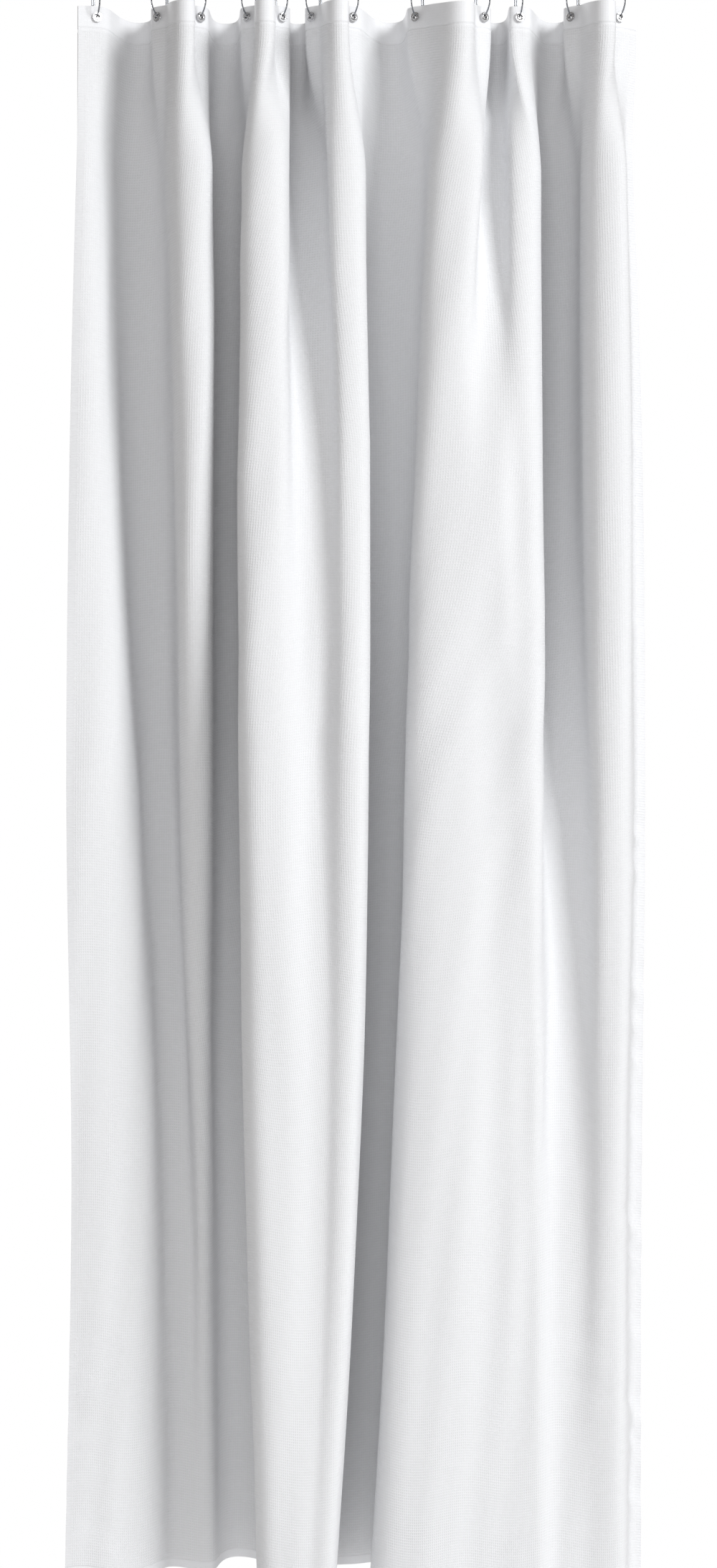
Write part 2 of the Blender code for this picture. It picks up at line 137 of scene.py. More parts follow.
# ---- waffle cloth ----
# One piece of white cotton woven in small square cells, 1.8 m wide and 2 m high. It hangs from its
# eyelets, so its top makes half a fold between each two, and lower down the folds drift, merge and
# grow deeper.
MM = 0.001
CLOTH_WIDTH = 1.800
CLOTH_HEIGHT = 2.000
CLOTH_THICKNESS = 0.0014
HEADER_HEIGHT = 0.030
SIDE_HEM_WIDTH = 0.012
BOTTOM_HEM_HEIGHT = 0.014
SEAM_INSET = 0.002
EYELETS = 12
EYELET_MARGIN = 0.025
EYELET_DROP = 0.014
EYELET_Z = -0.05617
TOP_EDGE_Z = EYELET_Z + EYELET_DROP
# The rings' places along the rod, in millimetres. Each eyelet turns EYELET_TURN times as far as its ring.
RING_PLACES = (-335, -256, -203, -141, -98, -59, -8, 74, 160, 206, 273, 334)
EYELET_TURN = 1.4
FLAT_HALF_WIDTH = 0.0095
# The half fold between each two eyelets: its tip's place between them, as a share, and 1 if it goes back
# or -1 if it comes forward.
TIPS = (
    (0.66, 1), (0.72, -1), (0.50, 1), (0.55, -1), (0.50, 1), (0.70, -1),
    (0.62, 1), (0.66, -1), (0.36, 1), (0.74, 1), (0.66, -1),
)
TIP_BREADTH = 0.16
EYELET_PULL = 0.07
SAG = 0.007
# Below the rings the cloth hangs in crests, which come forward, and troughs. Each is a line down the cloth,
# given at five levels, which are shares of the height. At a level it has its place to the right and its
# place to the back, and how far its curve reaches to the left and to the right, all in millimetres.
LEVELS = (0.08, 0.25, 0.50, 0.75, 1.00)
FOLD_LINES = {
    "left_edge": ((-359, -10, 30, 30), (-367, -12, 30, 54), (-371, -16, 30, 84), (-364, -18, 30, 100),
                  (-372, -18, 30, 100)),
    "trough_1": ((-284, 64, 34, 36), (-270, 56, 44, 36), (-248, 30, 44, 20), (-222, 12, 44, 16),
                 (-213, 8, 38, 16)),
    "crest_1": ((-210, -46, 40, 40), (-206, -42, 36, 38), (-204, -22, 26, 30), (-201, 0, 20, 26),
                (-195, 8, 20, 26)),
    "trough_2": ((-172, 54, 40, 48), (-168, 48, 40, 66), (-163, 34, 38, 80), (-157, 28, 44, 90),
                 (-148, 28, 46, 94)),
    "crest_2": ((-118, -68, 46, 42), (-116, -66, 60, 36), (-117, -64, 80, 40), (-107, -68, 86, 40),
                (-95, -66, 76, 30)),
    "trough_3": ((-71, 34, 32, 42), (-58, -30, 36, 42), (-48, -54, 28, 24), (-42, -64, 20, 20),
                 (-60, -65, 16, 10)),
    "crest_3": ((-18, -46, 34, 44), (-12, -60, 30, 50), (-6, -64, 30, 80), (-17, -68, 30, 80),
                (-44, -66, 20, 70)),
    "trough_4": ((50, 56, 60, 56), (44, 46, 80, 66), (32, 28, 110, 80), (16, 22, 110, 80),
                 (-12, 22, 100, 80)),
    "crest_4": ((131, -50, 56, 50), (117, -50, 66, 40), (114, -50, 90, 50), (102, -54, 96, 60),
                (74, -52, 96, 70)),
    "trough_5": ((172, 14, 36, 36), (172, -41, 40, 30), (184, -45, 40, 20), (184, -48, 40, 30),
                 (170, -46, 60, 40)),
    "crest_5": ((207, -26, 34, 40), (206, -42, 30, 40), (212, -46, 30, 46), (217, -46, 30, 46),
                (221, -46, 36, 46)),
    "trough_6": ((264, 68, 46, 34), (263, 56, 46, 32), (260, -8, 56, 44), (257, -34, 60, 56),
                 (257, -38, 60, 56)),
    "crest_6": ((322, -42, 46, 44), (324, -42, 46, 40), (324, -42, 46, 40), (320, -44, 44, 36),
                (318, -40, 44, 36)),
    "right_edge": ((349, 0, 30, 20), (361, -6, 30, 20), (364, -16, 34, 20), (358, -22, 34, 20),
                   (357, -22, 34, 20)),
}
# The folds are made as deep as the cloth's width asks, and no deeper than this from front to back.
DEEPEST = 0.215
# The rings' folds have turned into the loose ones this far down.
SETTLE_END = 0.22
# A curve's reach is stretched by CURVE_PULL, and kept within a share of its span that grows with its depth.
CURVE_PULL = 1.6
SHORT_SPAN, DEEP_SPAN = 0.9, 30.0
STEPS = 60
# A ring's turn is the turn of the axis that it swings about.
RING_TURNS = []
for k in range(EYELETS):
    joint = next(j for j in frame["joints"] if j["name"] == f"swing_{k + 1:02d}")
    RING_TURNS.append(atan2(joint["axis"][1], joint["axis"][0]))
    if RING_TURNS[k] > pi / 2:
        RING_TURNS[k] -= pi
    elif RING_TURNS[k] < -pi / 2:
        RING_TURNS[k] += pi


def bezier(start, start_pull, end_pull, end):
    u = np.linspace(0, 1, STEPS, endpoint=False)[:, None]
    return (
        (1 - u) ** 3 * np.array(start)
        + 3 * (1 - u) ** 2 * u * np.array(start_pull)
        + 3 * (1 - u) * u**2 * np.array(end_pull)
        + u**3 * np.array(end)
    )


def distances_along(line):
    return np.concatenate([[0], np.hypot(*np.diff(line, axis=0).T).cumsum()])


def solve(measure, wanted, low, high):
    """The value between low and high that makes a rising measure reach what is wanted."""
    for _ in range(36):
        middle = (low + high) / 2
        if measure(middle) < wanted:
            low = middle
        else:
            high = middle
    return (low + high) / 2


PITCH = (CLOTH_WIDTH - 2 * EYELET_MARGIN) / (EYELETS - 1)


def eyelet_spot(k):
    return np.array([RING_PLACES[k] * MM, 0.0])


def along_cloth(k):
    return np.array([cos(RING_TURNS[k] * EYELET_TURN), sin(RING_TURNS[k] * EYELET_TURN)])


def header_section():
    """Points (x, y) along the top edge: flat at each eyelet, and half a fold between each two."""
    last = EYELETS - 1
    points = [(eyelet_spot(0) - EYELET_MARGIN * along_cloth(0))[None]]
    for k, (share, way) in enumerate(TIPS):
        left = eyelet_spot(k) + FLAT_HALF_WIDTH * along_cloth(k)
        right = eyelet_spot(k + 1) - FLAT_HALF_WIDTH * along_cloth(k + 1)
        tip_x = eyelet_spot(k)[0] + share * (eyelet_spot(k + 1) - eyelet_spot(k))[0]
        sideways = np.array([TIP_BREADTH * PITCH, 0])

        def half_fold(depth):
            tip = np.array([tip_x, way * depth])
            return np.vstack([
                bezier(left, left + EYELET_PULL * PITCH * along_cloth(k), tip - sideways, tip),
                bezier(tip, tip + sideways, right - EYELET_PULL * PITCH * along_cloth(k + 1), right),
                right[None],
            ])

        free = PITCH - 2 * FLAT_HALF_WIDTH
        points.append(half_fold(solve(lambda d: distances_along(half_fold(d))[-1], free, 0.0, PITCH)))
    points.append((eyelet_spot(last) + EYELET_MARGIN * along_cloth(last))[None])
    return np.vstack(points)


def between_levels(values, share):
    """A fold line's numbers at this share of the height, smooth from level to level."""
    levels, values = np.array(LEVELS), np.array(values, float)
    slopes = np.gradient(values, levels, axis=0)
    share = max(share, LEVELS[0])
    j = int(np.clip(np.searchsorted(levels, share) - 1, 0, len(levels) - 2))
    width = levels[j + 1] - levels[j]
    u = (share - levels[j]) / width
    return (
        (2 * u**3 - 3 * u**2 + 1) * values[j]
        + (u**3 - 2 * u**2 + u) * width * slopes[j]
        + (3 * u**2 - 2 * u**3) * values[j + 1]
        + (u**3 - u**2) * width * slopes[j + 1]
    )


def loose_section(share):
    """Points (x, y) along the loose folds at this share of the height, as long as the cloth is wide."""
    x, y, left, right = np.array([between_levels(line, share) for line in FOLD_LINES.values()]).T * MM
    left, right = CURVE_PULL * left, CURVE_PULL * right

    def section(depth):
        points = []
        for i in range(len(x) - 1):
            most = (x[i + 1] - x[i]) * (SHORT_SPAN + DEEP_SPAN * abs(y[i + 1] - y[i]))
            fit = min(1.0, most / (right[i] + left[i + 1]))
            start, end = np.array([x[i], depth * y[i]]), np.array([x[i + 1], depth * y[i + 1]])
            points.append(bezier(start, start + (fit * right[i], 0), end - (fit * left[i + 1], 0), end))
        points.append(np.array([[x[-1], depth * y[-1]]]))
        return np.vstack(points)

    most_depth = DEEPEST / np.ptp(y)
    return section(solve(lambda d: distances_along(section(d))[-1], CLOTH_WIDTH, 0.0, most_depth))


def places_on(line, across):
    """Points of a line at these distances across the cloth."""
    along = distances_along(line)
    along *= CLOTH_WIDTH / along[-1]
    return np.column_stack([np.interp(across, along, line[:, c]) for c in (0, 1)])


HEADER_SECTION = header_section()

# The cloth is slack in long low waves that grow from SLACK_START down. Each gives its length across, its
# length down, its phase and its share.
SLACK_WAVES = ((0.083, 0.61, 1.1, 1.0), (0.127, -0.87, 4.0, 1.0), (0.051, 0.43, 2.3, 0.6))
SLACK_DEPTH = 0.0005
SLACK_START, SLACK_GROWTH = 0.05, 0.3
# Small creases lie across the side hems and the lower right of the cloth. Each gives its place across and
# down, half its breadth and half its height, its slant and its depth.
CREASES = (
    (1.796, 1.065, 0.030, 0.016, 0.25, 0.0068), (1.780, 1.100, 0.041, 0.019, 0.40, 0.0048),
    (1.797, 1.255, 0.032, 0.018, 0.10, 0.0071), (1.786, 1.300, 0.038, 0.016, 0.35, 0.0051),
    (1.796, 1.345, 0.027, 0.014, 0.20, 0.0061), (1.795, 1.440, 0.030, 0.018, 0.15, 0.0051),
    (1.796, 1.560, 0.041, 0.018, 0.30, 0.0075), (1.788, 1.600, 0.035, 0.013, 0.45, 0.0051),
    (1.797, 1.690, 0.030, 0.021, 0.10, 0.0058), (1.794, 1.790, 0.046, 0.019, 0.35, 0.0078),
    (1.790, 1.835, 0.038, 0.013, 0.50, 0.0051), (1.797, 1.905, 0.032, 0.018, 0.15, 0.0068),
    (1.655, 1.700, 0.061, 0.012, 0.12, 0.0037), (1.700, 1.765, 0.049, 0.014, 0.20, 0.0031),
    (1.600, 1.480, 0.068, 0.016, -0.10, 0.0020), (1.735, 1.530, 0.041, 0.013, 0.30, 0.0027),
    (0.006, 1.700, 0.030, 0.017, -0.20, 0.0058), (0.010, 1.745, 0.035, 0.016, -0.35, 0.0048),
    (0.004, 1.810, 0.030, 0.018, -0.10, 0.0065), (0.012, 1.862, 0.041, 0.014, -0.30, 0.0051),
    (0.005, 1.925, 0.035, 0.017, -0.20, 0.0061), (0.055, 1.950, 0.054, 0.014, 0.15, 0.0027),
    (0.004, 0.420, 0.022, 0.017, -0.15, 0.0034), (0.006, 0.980, 0.024, 0.019, -0.15, 0.0031),
    (1.796, 0.560, 0.024, 0.018, 0.20, 0.0034), (1.797, 0.800, 0.027, 0.017, 0.20, 0.0041),
)


def relief(across, down):
    """How far the cloth stands forward of its plain folds: slack waves, and the creases."""
    wave = sum(share * np.sin(2 * pi * (across / length_across + down / length_down) + phase)
               for length_across, length_down, phase, share in SLACK_WAVES)
    loose = np.clip((down - SLACK_START) / SLACK_GROWTH, 0, 1)
    slack = SLACK_DEPTH * loose * wave
    for middle, middle_down, breadth, height, slant, depth in CREASES:
        along = (across - middle) + slant * (down - middle_down)
        rise = (down - middle_down) - slant * (across - middle)
        ridge = depth * np.exp(-((along / breadth) ** 2)) * (rise / height)
        slack = slack + ridge * np.exp(-((rise / height) ** 2))
    return slack


# Where the cloth bends most sharply, its relief is stretched to no more than one over this.
SHARPEST_MITRE = 0.3


def cloth_row(across, down):
    """Points (x, y) of the cloth's front, and the way it faces, at these distances across."""
    row = places_on(HEADER_SECTION, across)
    if down > HEADER_HEIGHT:
        u = min(1.0, (down - HEADER_HEIGHT) / (SETTLE_END - HEADER_HEIGHT))
        settled = u * u * (3 - 2 * u)
        row = row * (1 - settled) + places_on(loose_section(down / CLOTH_HEIGHT), across) * settled
    ways = np.diff(row, axis=0)
    ways /= np.hypot(*ways.T)[:, None]
    before, after = np.vstack([ways[:1], ways]), np.vstack([ways, ways[-1:]])
    middle = before + after
    middle /= np.hypot(*middle.T)[:, None]
    mitre = np.maximum(SHARPEST_MITRE, (middle * after).sum(1))
    ahead = np.column_stack([middle[:, 1], -middle[:, 0]]) / mitre[:, None]
    return row + ahead * relief(across, down)[:, None], ahead


# The grid has a square opening under each eyelet's flange, HOLE_HALF to each side of its middle. Its
# columns and rows follow the hems, the seams and the openings, and are spread evenly between them.
HOLE_HALF = 0.0032
FACET = 0.0057
SIDE_STEP = 0.005
side_lines = [0.0, SIDE_STEP, SIDE_HEM_WIDTH - SEAM_INSET, SIDE_HEM_WIDTH, SIDE_HEM_WIDTH + SIDE_STEP]
lines = side_lines + [CLOTH_WIDTH - place for place in side_lines]
for k in range(EYELETS):
    middle = EYELET_MARGIN + k * PITCH
    lines += [middle - HOLE_HALF, middle + HOLE_HALF]
    if k < EYELETS - 1:
        count = round((PITCH - 2 * HOLE_HALF) / FACET)
        lines += list(np.linspace(middle + HOLE_HALF, middle + PITCH - HOLE_HALF, count + 1)[1:-1])
ACROSS = np.array(sorted(lines))
HEADER_LINE = HEADER_HEIGHT - SEAM_INSET
BOTTOM_HEM_TOP = CLOTH_HEIGHT - BOTTOM_HEM_HEIGHT
TOP_STEP = 0.004
BELOW_EYELETS = 0.022
UPPER_START, UPPER_END, UPPER_FACET = 0.041, 0.40, 0.0095
LOWER_START, LOWER_ROWS = 0.41, 106
FOOT_STEP = 0.006
DOWN = np.array([
    0.0, TOP_STEP, EYELET_DROP - HOLE_HALF, EYELET_DROP + HOLE_HALF, BELOW_EYELETS,
    HEADER_LINE, HEADER_HEIGHT, HEADER_HEIGHT + TOP_STEP,
    *np.arange(UPPER_START, UPPER_END, UPPER_FACET),
    *np.linspace(LOWER_START, BOTTOM_HEM_TOP, LOWER_ROWS),
    BOTTOM_HEM_TOP + SEAM_INSET, CLOTH_HEIGHT - FOOT_STEP, CLOTH_HEIGHT,
])
rows = [cloth_row(ACROSS, down) for down in DOWN]
CLOTH_FRONT = np.array([row for row, _ in rows])
CLOTH_AHEAD = np.array([ahead for _, ahead in rows])
sag = SAG * np.sin(pi * (ACROSS - EYELET_MARGIN) / PITCH) ** 2


def cloth_points(columns, levels, back=0.0):
    """Points of the cloth's grid, in these columns and rows, at a distance behind its front."""
    flat = CLOTH_FRONT[levels][:, columns] - back * CLOTH_AHEAD[levels][:, columns]
    height = TOP_EDGE_Z - DOWN[levels][:, None] - sag[columns][None, :]
    return np.dstack([flat, height])


def made_piece(name, mesh):
    piece = bpy.data.objects.new(name, mesh)
    scene.collection.objects.link(piece)
    return piece


def plain_mesh(piece):
    """The piece's evaluated shape, as its own mesh, with no modifiers left."""
    evaluated = piece.evaluated_get(bpy.context.evaluated_depsgraph_get())
    mesh = bpy.data.meshes.new_from_object(evaluated)
    piece.modifiers.clear()
    piece.data = mesh
    return piece


# Two places on the grid are the same when they are closer than this.
SAME_PLACE = 0.0005
CLOTH_SHARP_ANGLE = radians(60)


def cloth_layer(name, columns, levels, back, thickness):
    """A layer of cloth on the grid, thickened to the back, with its UV map in metres across and down."""
    points = cloth_points(columns, levels, back)
    across, down = ACROSS[columns], DOWN[levels]
    corners = np.arange(points.shape[0] * points.shape[1]).reshape(points.shape[:2])
    faces = np.stack([corners[:-1, :-1], corners[1:, :-1], corners[1:, 1:], corners[:-1, 1:]], axis=2)
    middle_across = (across[1:] + across[:-1]) / 2
    middle_down = (down[1:] + down[:-1]) / 2
    beside = np.abs((middle_across - EYELET_MARGIN + PITCH / 2) % PITCH - PITCH / 2) < SAME_PLACE
    level = np.abs(middle_down - EYELET_DROP) < SAME_PLACE
    faces = faces[~(level[:, None] & beside[None, :])]
    mesh = bpy.data.meshes.new(name)
    mesh.from_pydata(points.reshape(-1, 3).tolist(), [], faces.tolist())
    uv = mesh.uv_layers.new(name="cloth")
    place = np.dstack(np.meshgrid(across, down)).reshape(-1, 2)
    uv.data.foreach_set("uv", place[faces.ravel()].astype(np.float32).ravel())
    mesh.polygons.foreach_set("use_smooth", np.ones(len(faces), bool))
    piece = made_piece(name, mesh)
    solid = piece.modifiers.new("thickness", "SOLIDIFY")
    solid.thickness = thickness
    solid.offset = -1
    solid.use_quality_normals = True
    plain_mesh(piece)
    piece.data.set_sharp_from_angle(angle=CLOTH_SHARP_ANGLE)
    return piece


class Shade:
    """One output socket of a material's nodes. Arithmetic on it adds Math nodes."""

    def __init__(self, tree, socket):
        self.tree, self.socket = tree, socket

    def node(self, kind, settings, inputs, output=0):
        node = self.tree.nodes.new(kind)
        for name, value in settings.items():
            setattr(node, name, value)
        for name, value in inputs.items():
            if isinstance(value, Shade):
                self.tree.links.new(value.socket, node.inputs[name])
            else:
                node.inputs[name].default_value = value
        return Shade(self.tree, node.outputs[output])

    def maths(self, operation, *values):
        return self.node("ShaderNodeMath", {"operation": operation}, dict(enumerate(values)))

    def __add__(self, other):
        return self.maths("ADD", self, other)

    def __mul__(self, other):
        return self.maths("MULTIPLY", self, other)

    def __sub__(self, other):
        return self.maths("SUBTRACT", self, other)

    def __rsub__(self, other):
        return self.maths("SUBTRACT", other, self)

    def __truediv__(self, other):
        return self.maths("DIVIDE", self, other)

    def __pow__(self, other):
        return self.maths("POWER", self, other)

    __radd__ = __add__
    __rmul__ = __mul__

    def step(self, low, high):
        """0 below low, 1 above high, and smooth between."""
        settings = {"interpolation_type": "SMOOTHSTEP"}
        inputs = {"Value": self, "From Min": low, "From Max": high}
        return self.node("ShaderNodeMapRange", settings, inputs)

    def blend(self, low, high):
        """The colour low where this is 0 and high where it is 1."""
        inputs = {0: self, 6: (*low, 1.0), 7: (*high, 1.0)}
        return self.node("ShaderNodeMix", {"data_type": "RGBA"}, inputs, output=2)


def new_material(name, roughness, metallic=0.0):
    """A material, its Principled shader and a starting point for its nodes."""
    made = bpy.data.materials.new(name)
    made.use_nodes = True
    shader = made.node_tree.nodes["Principled BSDF"]
    shader.inputs["Roughness"].default_value = roughness
    shader.inputs["Metallic"].default_value = metallic
    return made, shader, Shade(made.node_tree, None)


# The waffle's square cells, CELL from rib to rib. The weave fades out over a hem's inner edge, and on a
# hem only HEM_WEAVE of it is left. Each seam draws a groove in the cloth, and the yarn's slubs are finer.
CELL = 0.0033
RIB_HEIGHT = 0.00034
RIB_SHARPNESS = 3.0
HEM_WEAVE = 0.25
FADE_OUTSIDE, FADE_INSIDE = 0.002, 0.001
SEAM_HALF_WIDTH = 0.0022
SEAM_DEPTH = 0.0006
SLUB_SCALE = 900.0
SLUB_HEIGHT = 0.00006
COTTON_ROUGHNESS = 0.92


def cloth_material(name, cell_depth, painted_cell_shade, colour_high):
    """Cotton with painted shade in its cells, which makes them darker than its ribs, and with the weave and
    the seams as a bump.
    """
    made, shader, start = new_material(name, COTTON_ROUGHNESS)
    uv = start.node("ShaderNodeUVMap", {"uv_map": "cloth"}, {})
    across = start.node("ShaderNodeSeparateXYZ", {}, {0: uv}, output=0)
    down = start.node("ShaderNodeSeparateXYZ", {}, {0: uv}, output=1)

    def from_cell_middle(place):
        """0 in the middle of a cell and 1 on the rib between two."""
        turns = (place / CELL).maths("FRACT", place / CELL)
        return 2 * (turns - 0.5).maths("ABSOLUTE", turns - 0.5)

    side_fade = (SIDE_HEM_WIDTH - FADE_OUTSIDE, SIDE_HEM_WIDTH + FADE_INSIDE)
    beside_hems = across.step(*side_fade) * (CLOTH_WIDTH - across).step(*side_fade)
    below_header = down.step(HEADER_HEIGHT - FADE_INSIDE, HEADER_HEIGHT + FADE_OUTSIDE)
    from_foot = CLOTH_HEIGHT - down
    above_hem = from_foot.step(BOTTOM_HEM_HEIGHT - FADE_OUTSIDE, BOTTOM_HEM_HEIGHT + FADE_INSIDE)
    ribs = from_cell_middle(across) ** RIB_SHARPNESS * beside_hems
    rungs = from_cell_middle(down) ** RIB_SHARPNESS
    weave = ribs.maths("MAXIMUM", ribs, rungs)
    amount = below_header * above_hem * (1 - HEM_WEAVE) + HEM_WEAVE
    header_seam = (down - HEADER_LINE).maths("ABSOLUTE", down - HEADER_LINE).step(0.0, SEAM_HALF_WIDTH)
    bottom_seam = down - BOTTOM_HEM_TOP - SEAM_INSET
    bottom_seam = bottom_seam.maths("ABSOLUTE", bottom_seam).step(0.0, SEAM_HALF_WIDTH)
    yarn = {"Vector": uv, "Scale": SLUB_SCALE, "Detail": 2.0}
    slub = start.node("ShaderNodeTexNoise", {"noise_dimensions": "2D"}, yarn)
    height = weave * amount * cell_depth + (header_seam + bottom_seam) * SEAM_DEPTH + slub * SLUB_HEIGHT
    bump = start.node("ShaderNodeBump", {}, {"Height": height, "Distance": 1.0})
    # The cells take the darker colour as painted shade, which stands in for shade in the weave's recesses.
    # The ribs keep the cotton's own white.
    shade = weave * amount + (1 - amount)
    colour = shade.blend(painted_cell_shade, colour_high)
    start.tree.links.new(bump.socket, shader.inputs["Normal"])
    start.tree.links.new(colour.socket, shader.inputs["Base Color"])
    shader.inputs["Sheen Weight"].default_value = 0.15
    shader.inputs["Sheen Roughness"].default_value = 0.5
    shader.inputs["Specular IOR Level"].default_value = 0.25
    return made


def dress(piece, look, slot, body, *nodes):
    """Gives a finished piece its material, its body and the CAD nodes that it stands for."""
    piece.data.materials.clear()
    piece.data.materials.append(look)
    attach(piece, body)
    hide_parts(*nodes)
    return piece


def gather(piece):
    """Gives the piece its own copy of its mesh."""
    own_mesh(piece)


# RIB_COLOUR is the cotton's own white. Each cotton's first colour is painted shade for its waffle cells.
RIB_COLOUR = (0.835, 0.842, 0.860)
every_column, every_level = np.arange(len(ACROSS)), np.arange(len(DOWN))
waffle_look = cloth_material("waffle_cotton", RIB_HEIGHT, (0.785, 0.790, 0.806), RIB_COLOUR)
cloth = cloth_layer("waffle_cloth", every_column, every_level, 0.0, CLOTH_THICKNESS)
dress(cloth, waffle_look, "waffle_cloth", "curtain", "waffle_panel")
gather(cloth)

# ---- header band and hems ----
# The band is a strip of firmer cotton sewn to the back of the top edge, where the eyelets go through.
# The side and bottom hems are the cloth's own edges, folded to the back.
GAP = 0.0003
BEHIND = CLOTH_THICKNESS + GAP
BAND_THICKNESS = 0.0009
HEM_RIB_HEIGHT = 0.0002
ROUNDING = 1e-9
header_levels = every_level[DOWN <= HEADER_HEIGHT + ROUNDING]
hem_levels = every_level[(DOWN > HEADER_HEIGHT + ROUNDING) & (DOWN < BOTTOM_HEM_TOP - ROUNDING)]
bottom_levels = every_level[DOWN >= BOTTOM_HEM_TOP - ROUNDING]
left_columns = every_column[ACROSS <= SIDE_HEM_WIDTH + ROUNDING]
right_columns = every_column[ACROSS >= CLOTH_WIDTH - SIDE_HEM_WIDTH - ROUNDING]
# The band's and the hems' first colours are painted shade for their cells too.
band_look = cloth_material("header_cotton", 0.0, (0.81, 0.816, 0.834), RIB_COLOUR)
hem_look = cloth_material("hem_cotton", HEM_RIB_HEIGHT, (0.795, 0.801, 0.818), RIB_COLOUR)
for name, node, columns, levels, look, slot in (
    ("header_band", "header_tape", every_column, header_levels, band_look, "header"),
    ("left_side_hem", "left_hem", left_columns, hem_levels, hem_look, "hem"),
    ("right_side_hem", "right_hem", right_columns, hem_levels, hem_look, "hem"),
    ("foot_hem", "bottom_hem", every_column, bottom_levels, hem_look, "hem"),
):
    layer = cloth_layer(name, columns, levels, BEHIND, BAND_THICKNESS)
    dress(layer, look, slot, "curtain", node)
    gather(layer)

# ---- stitches ----
# White polyester thread, in a straight lockstitch along the lower edge of the band and along each hem.
STITCH_PITCH = 0.0028
STITCH_LENGTH = 0.0021
THREAD = 0.0005
# A stitch's ends dip into the cloth and its middle rises, by this share of the thread's diameter.
STITCH_BOW = 0.7


class Tree:
    """A Geometry Nodes tree, with its named inputs."""

    def __init__(self, name, inputs):
        self.tree = bpy.data.node_groups.new(name, "GeometryNodeTree")
        self.tree.interface.new_socket("Geometry", in_out="OUTPUT", socket_type="NodeSocketGeometry")
        self.identifiers = {}
        for label, kind in (("Geometry", "NodeSocketGeometry"), *inputs):
            socket = self.tree.interface.new_socket(label, in_out="INPUT", socket_type=kind)
            self.identifiers[label] = socket.identifier
        self.entry = self.tree.nodes.new("NodeGroupInput")
        self.exit = self.tree.nodes.new("NodeGroupOutput")

    def given(self, label):
        return self.entry.outputs[label]

    def node(self, kind, settings, inputs, output=0):
        node = self.tree.nodes.new(kind)
        for name, value in settings.items():
            setattr(node, name, value)
        for name, value in inputs.items():
            if isinstance(value, bpy.types.NodeSocket):
                self.tree.links.new(value, node.inputs[name])
            else:
                node.inputs[name].default_value = value
        return node.outputs[output]

    def times(self, value, factor):
        return self.node("ShaderNodeMath", {"operation": "MULTIPLY"}, {0: value, 1: factor})

    def end(self, geometry, material):
        whole = self.node("GeometryNodeRealizeInstances", {}, {"Geometry": geometry})
        dressed = self.node("GeometryNodeSetMaterial", {}, {"Geometry": whole, "Material": material})
        self.tree.links.new(dressed, self.exit.inputs["Geometry"])

    def make(self, piece, **values):
        """The piece's mesh after this tree, with these inputs."""
        modifier = piece.modifiers.new(self.tree.name, "NODES")
        modifier.node_group = self.tree
        for label, value in values.items():
            modifier[self.identifiers[label.replace("_", " ")]] = value
        return plain_mesh(piece)


stitching = Tree("stitching", (
    ("Pitch", "NodeSocketFloat"), ("Stitch length", "NodeSocketFloat"),
    ("Thread diameter", "NodeSocketFloat"), ("Thread", "NodeSocketMaterial"),
))
seam = stitching.node("GeometryNodeMeshToCurve", {}, {"Mesh": stitching.given("Geometry")})
holes = stitching.node(
    "GeometryNodeResampleCurve", {"mode": "LENGTH"}, {"Curve": seam, "Length": stitching.given("Pitch")})
half_length = stitching.times(stitching.given("Stitch length"), 0.5)
left_half = stitching.times(half_length, -1.0)
dip = stitching.times(stitching.given("Thread diameter"), -STITCH_BOW)
rise = stitching.times(stitching.given("Thread diameter"), STITCH_BOW)
bow = stitching.node("GeometryNodeCurveQuadraticBezier", {}, {
    "Resolution": 4,
    "Start": stitching.node("ShaderNodeCombineXYZ", {}, {0: left_half, 2: dip}),
    "Middle": stitching.node("ShaderNodeCombineXYZ", {}, {2: rise}),
    "End": stitching.node("ShaderNodeCombineXYZ", {}, {0: half_length, 2: dip}),
})
thread_radius = stitching.times(stitching.given("Thread diameter"), 0.5)
thread_round = stitching.node(
    "GeometryNodeCurvePrimitiveCircle", {}, {"Resolution": 5, "Radius": thread_radius})
stitch = stitching.node(
    "GeometryNodeCurveToMesh", {}, {"Curve": bow, "Profile Curve": thread_round, "Fill Caps": True})
outward = stitching.node(
    "GeometryNodeInputNamedAttribute", {"data_type": "FLOAT_VECTOR"}, {"Name": "outward"})
tangent = stitching.node("GeometryNodeInputTangent", {}, {})
lie = stitching.node("FunctionNodeAxesToRotation", {"primary_axis": "Z", "secondary_axis": "X"},
                     {"Primary Axis": outward, "Secondary Axis": tangent})
row_of_stitches = stitching.node(
    "GeometryNodeInstanceOnPoints", {}, {"Points": holes, "Instance": stitch, "Rotation": lie})
stitching.end(row_of_stitches, stitching.given("Thread"))

thread_look, thread_shader, start = new_material("white_thread", 0.55)
twist = start.node("ShaderNodeTexCoord", {}, {}, output=3)
ply = start.node("ShaderNodeTexNoise", {}, {"Vector": twist, "Scale": 3000.0, "Detail": 1.0})
thread_colour = ply.blend((0.84, 0.84, 0.85), (0.92, 0.92, 0.93))
start.tree.links.new(thread_colour.socket, thread_shader.inputs["Base Color"])
thread_bump = start.node("ShaderNodeBump", {}, {"Height": ply, "Distance": 0.0001})
start.tree.links.new(thread_bump.socket, thread_shader.inputs["Normal"])


def seam_line(name, columns, levels):
    """A line on the front of the cloth, with the way that the cloth faces at each point."""
    points = cloth_points(columns, levels, -0.5 * THREAD).reshape(-1, 3)
    ahead = CLOTH_AHEAD[levels][:, columns].reshape(-1, 2)
    mesh = bpy.data.meshes.new(name)
    mesh.from_pydata(points.tolist(), [(i, i + 1) for i in range(len(points) - 1)], [])
    outwards = np.column_stack([ahead, np.zeros(len(ahead))]).astype(np.float32)
    mesh.attributes.new("outward", "FLOAT_VECTOR", "POINT").data.foreach_set("vector", outwards.ravel())
    return made_piece(name, mesh)


def level_at(down):
    return np.array([np.abs(DOWN - down).argmin()])


def column_at(across):
    return np.array([np.abs(ACROSS - across).argmin()])


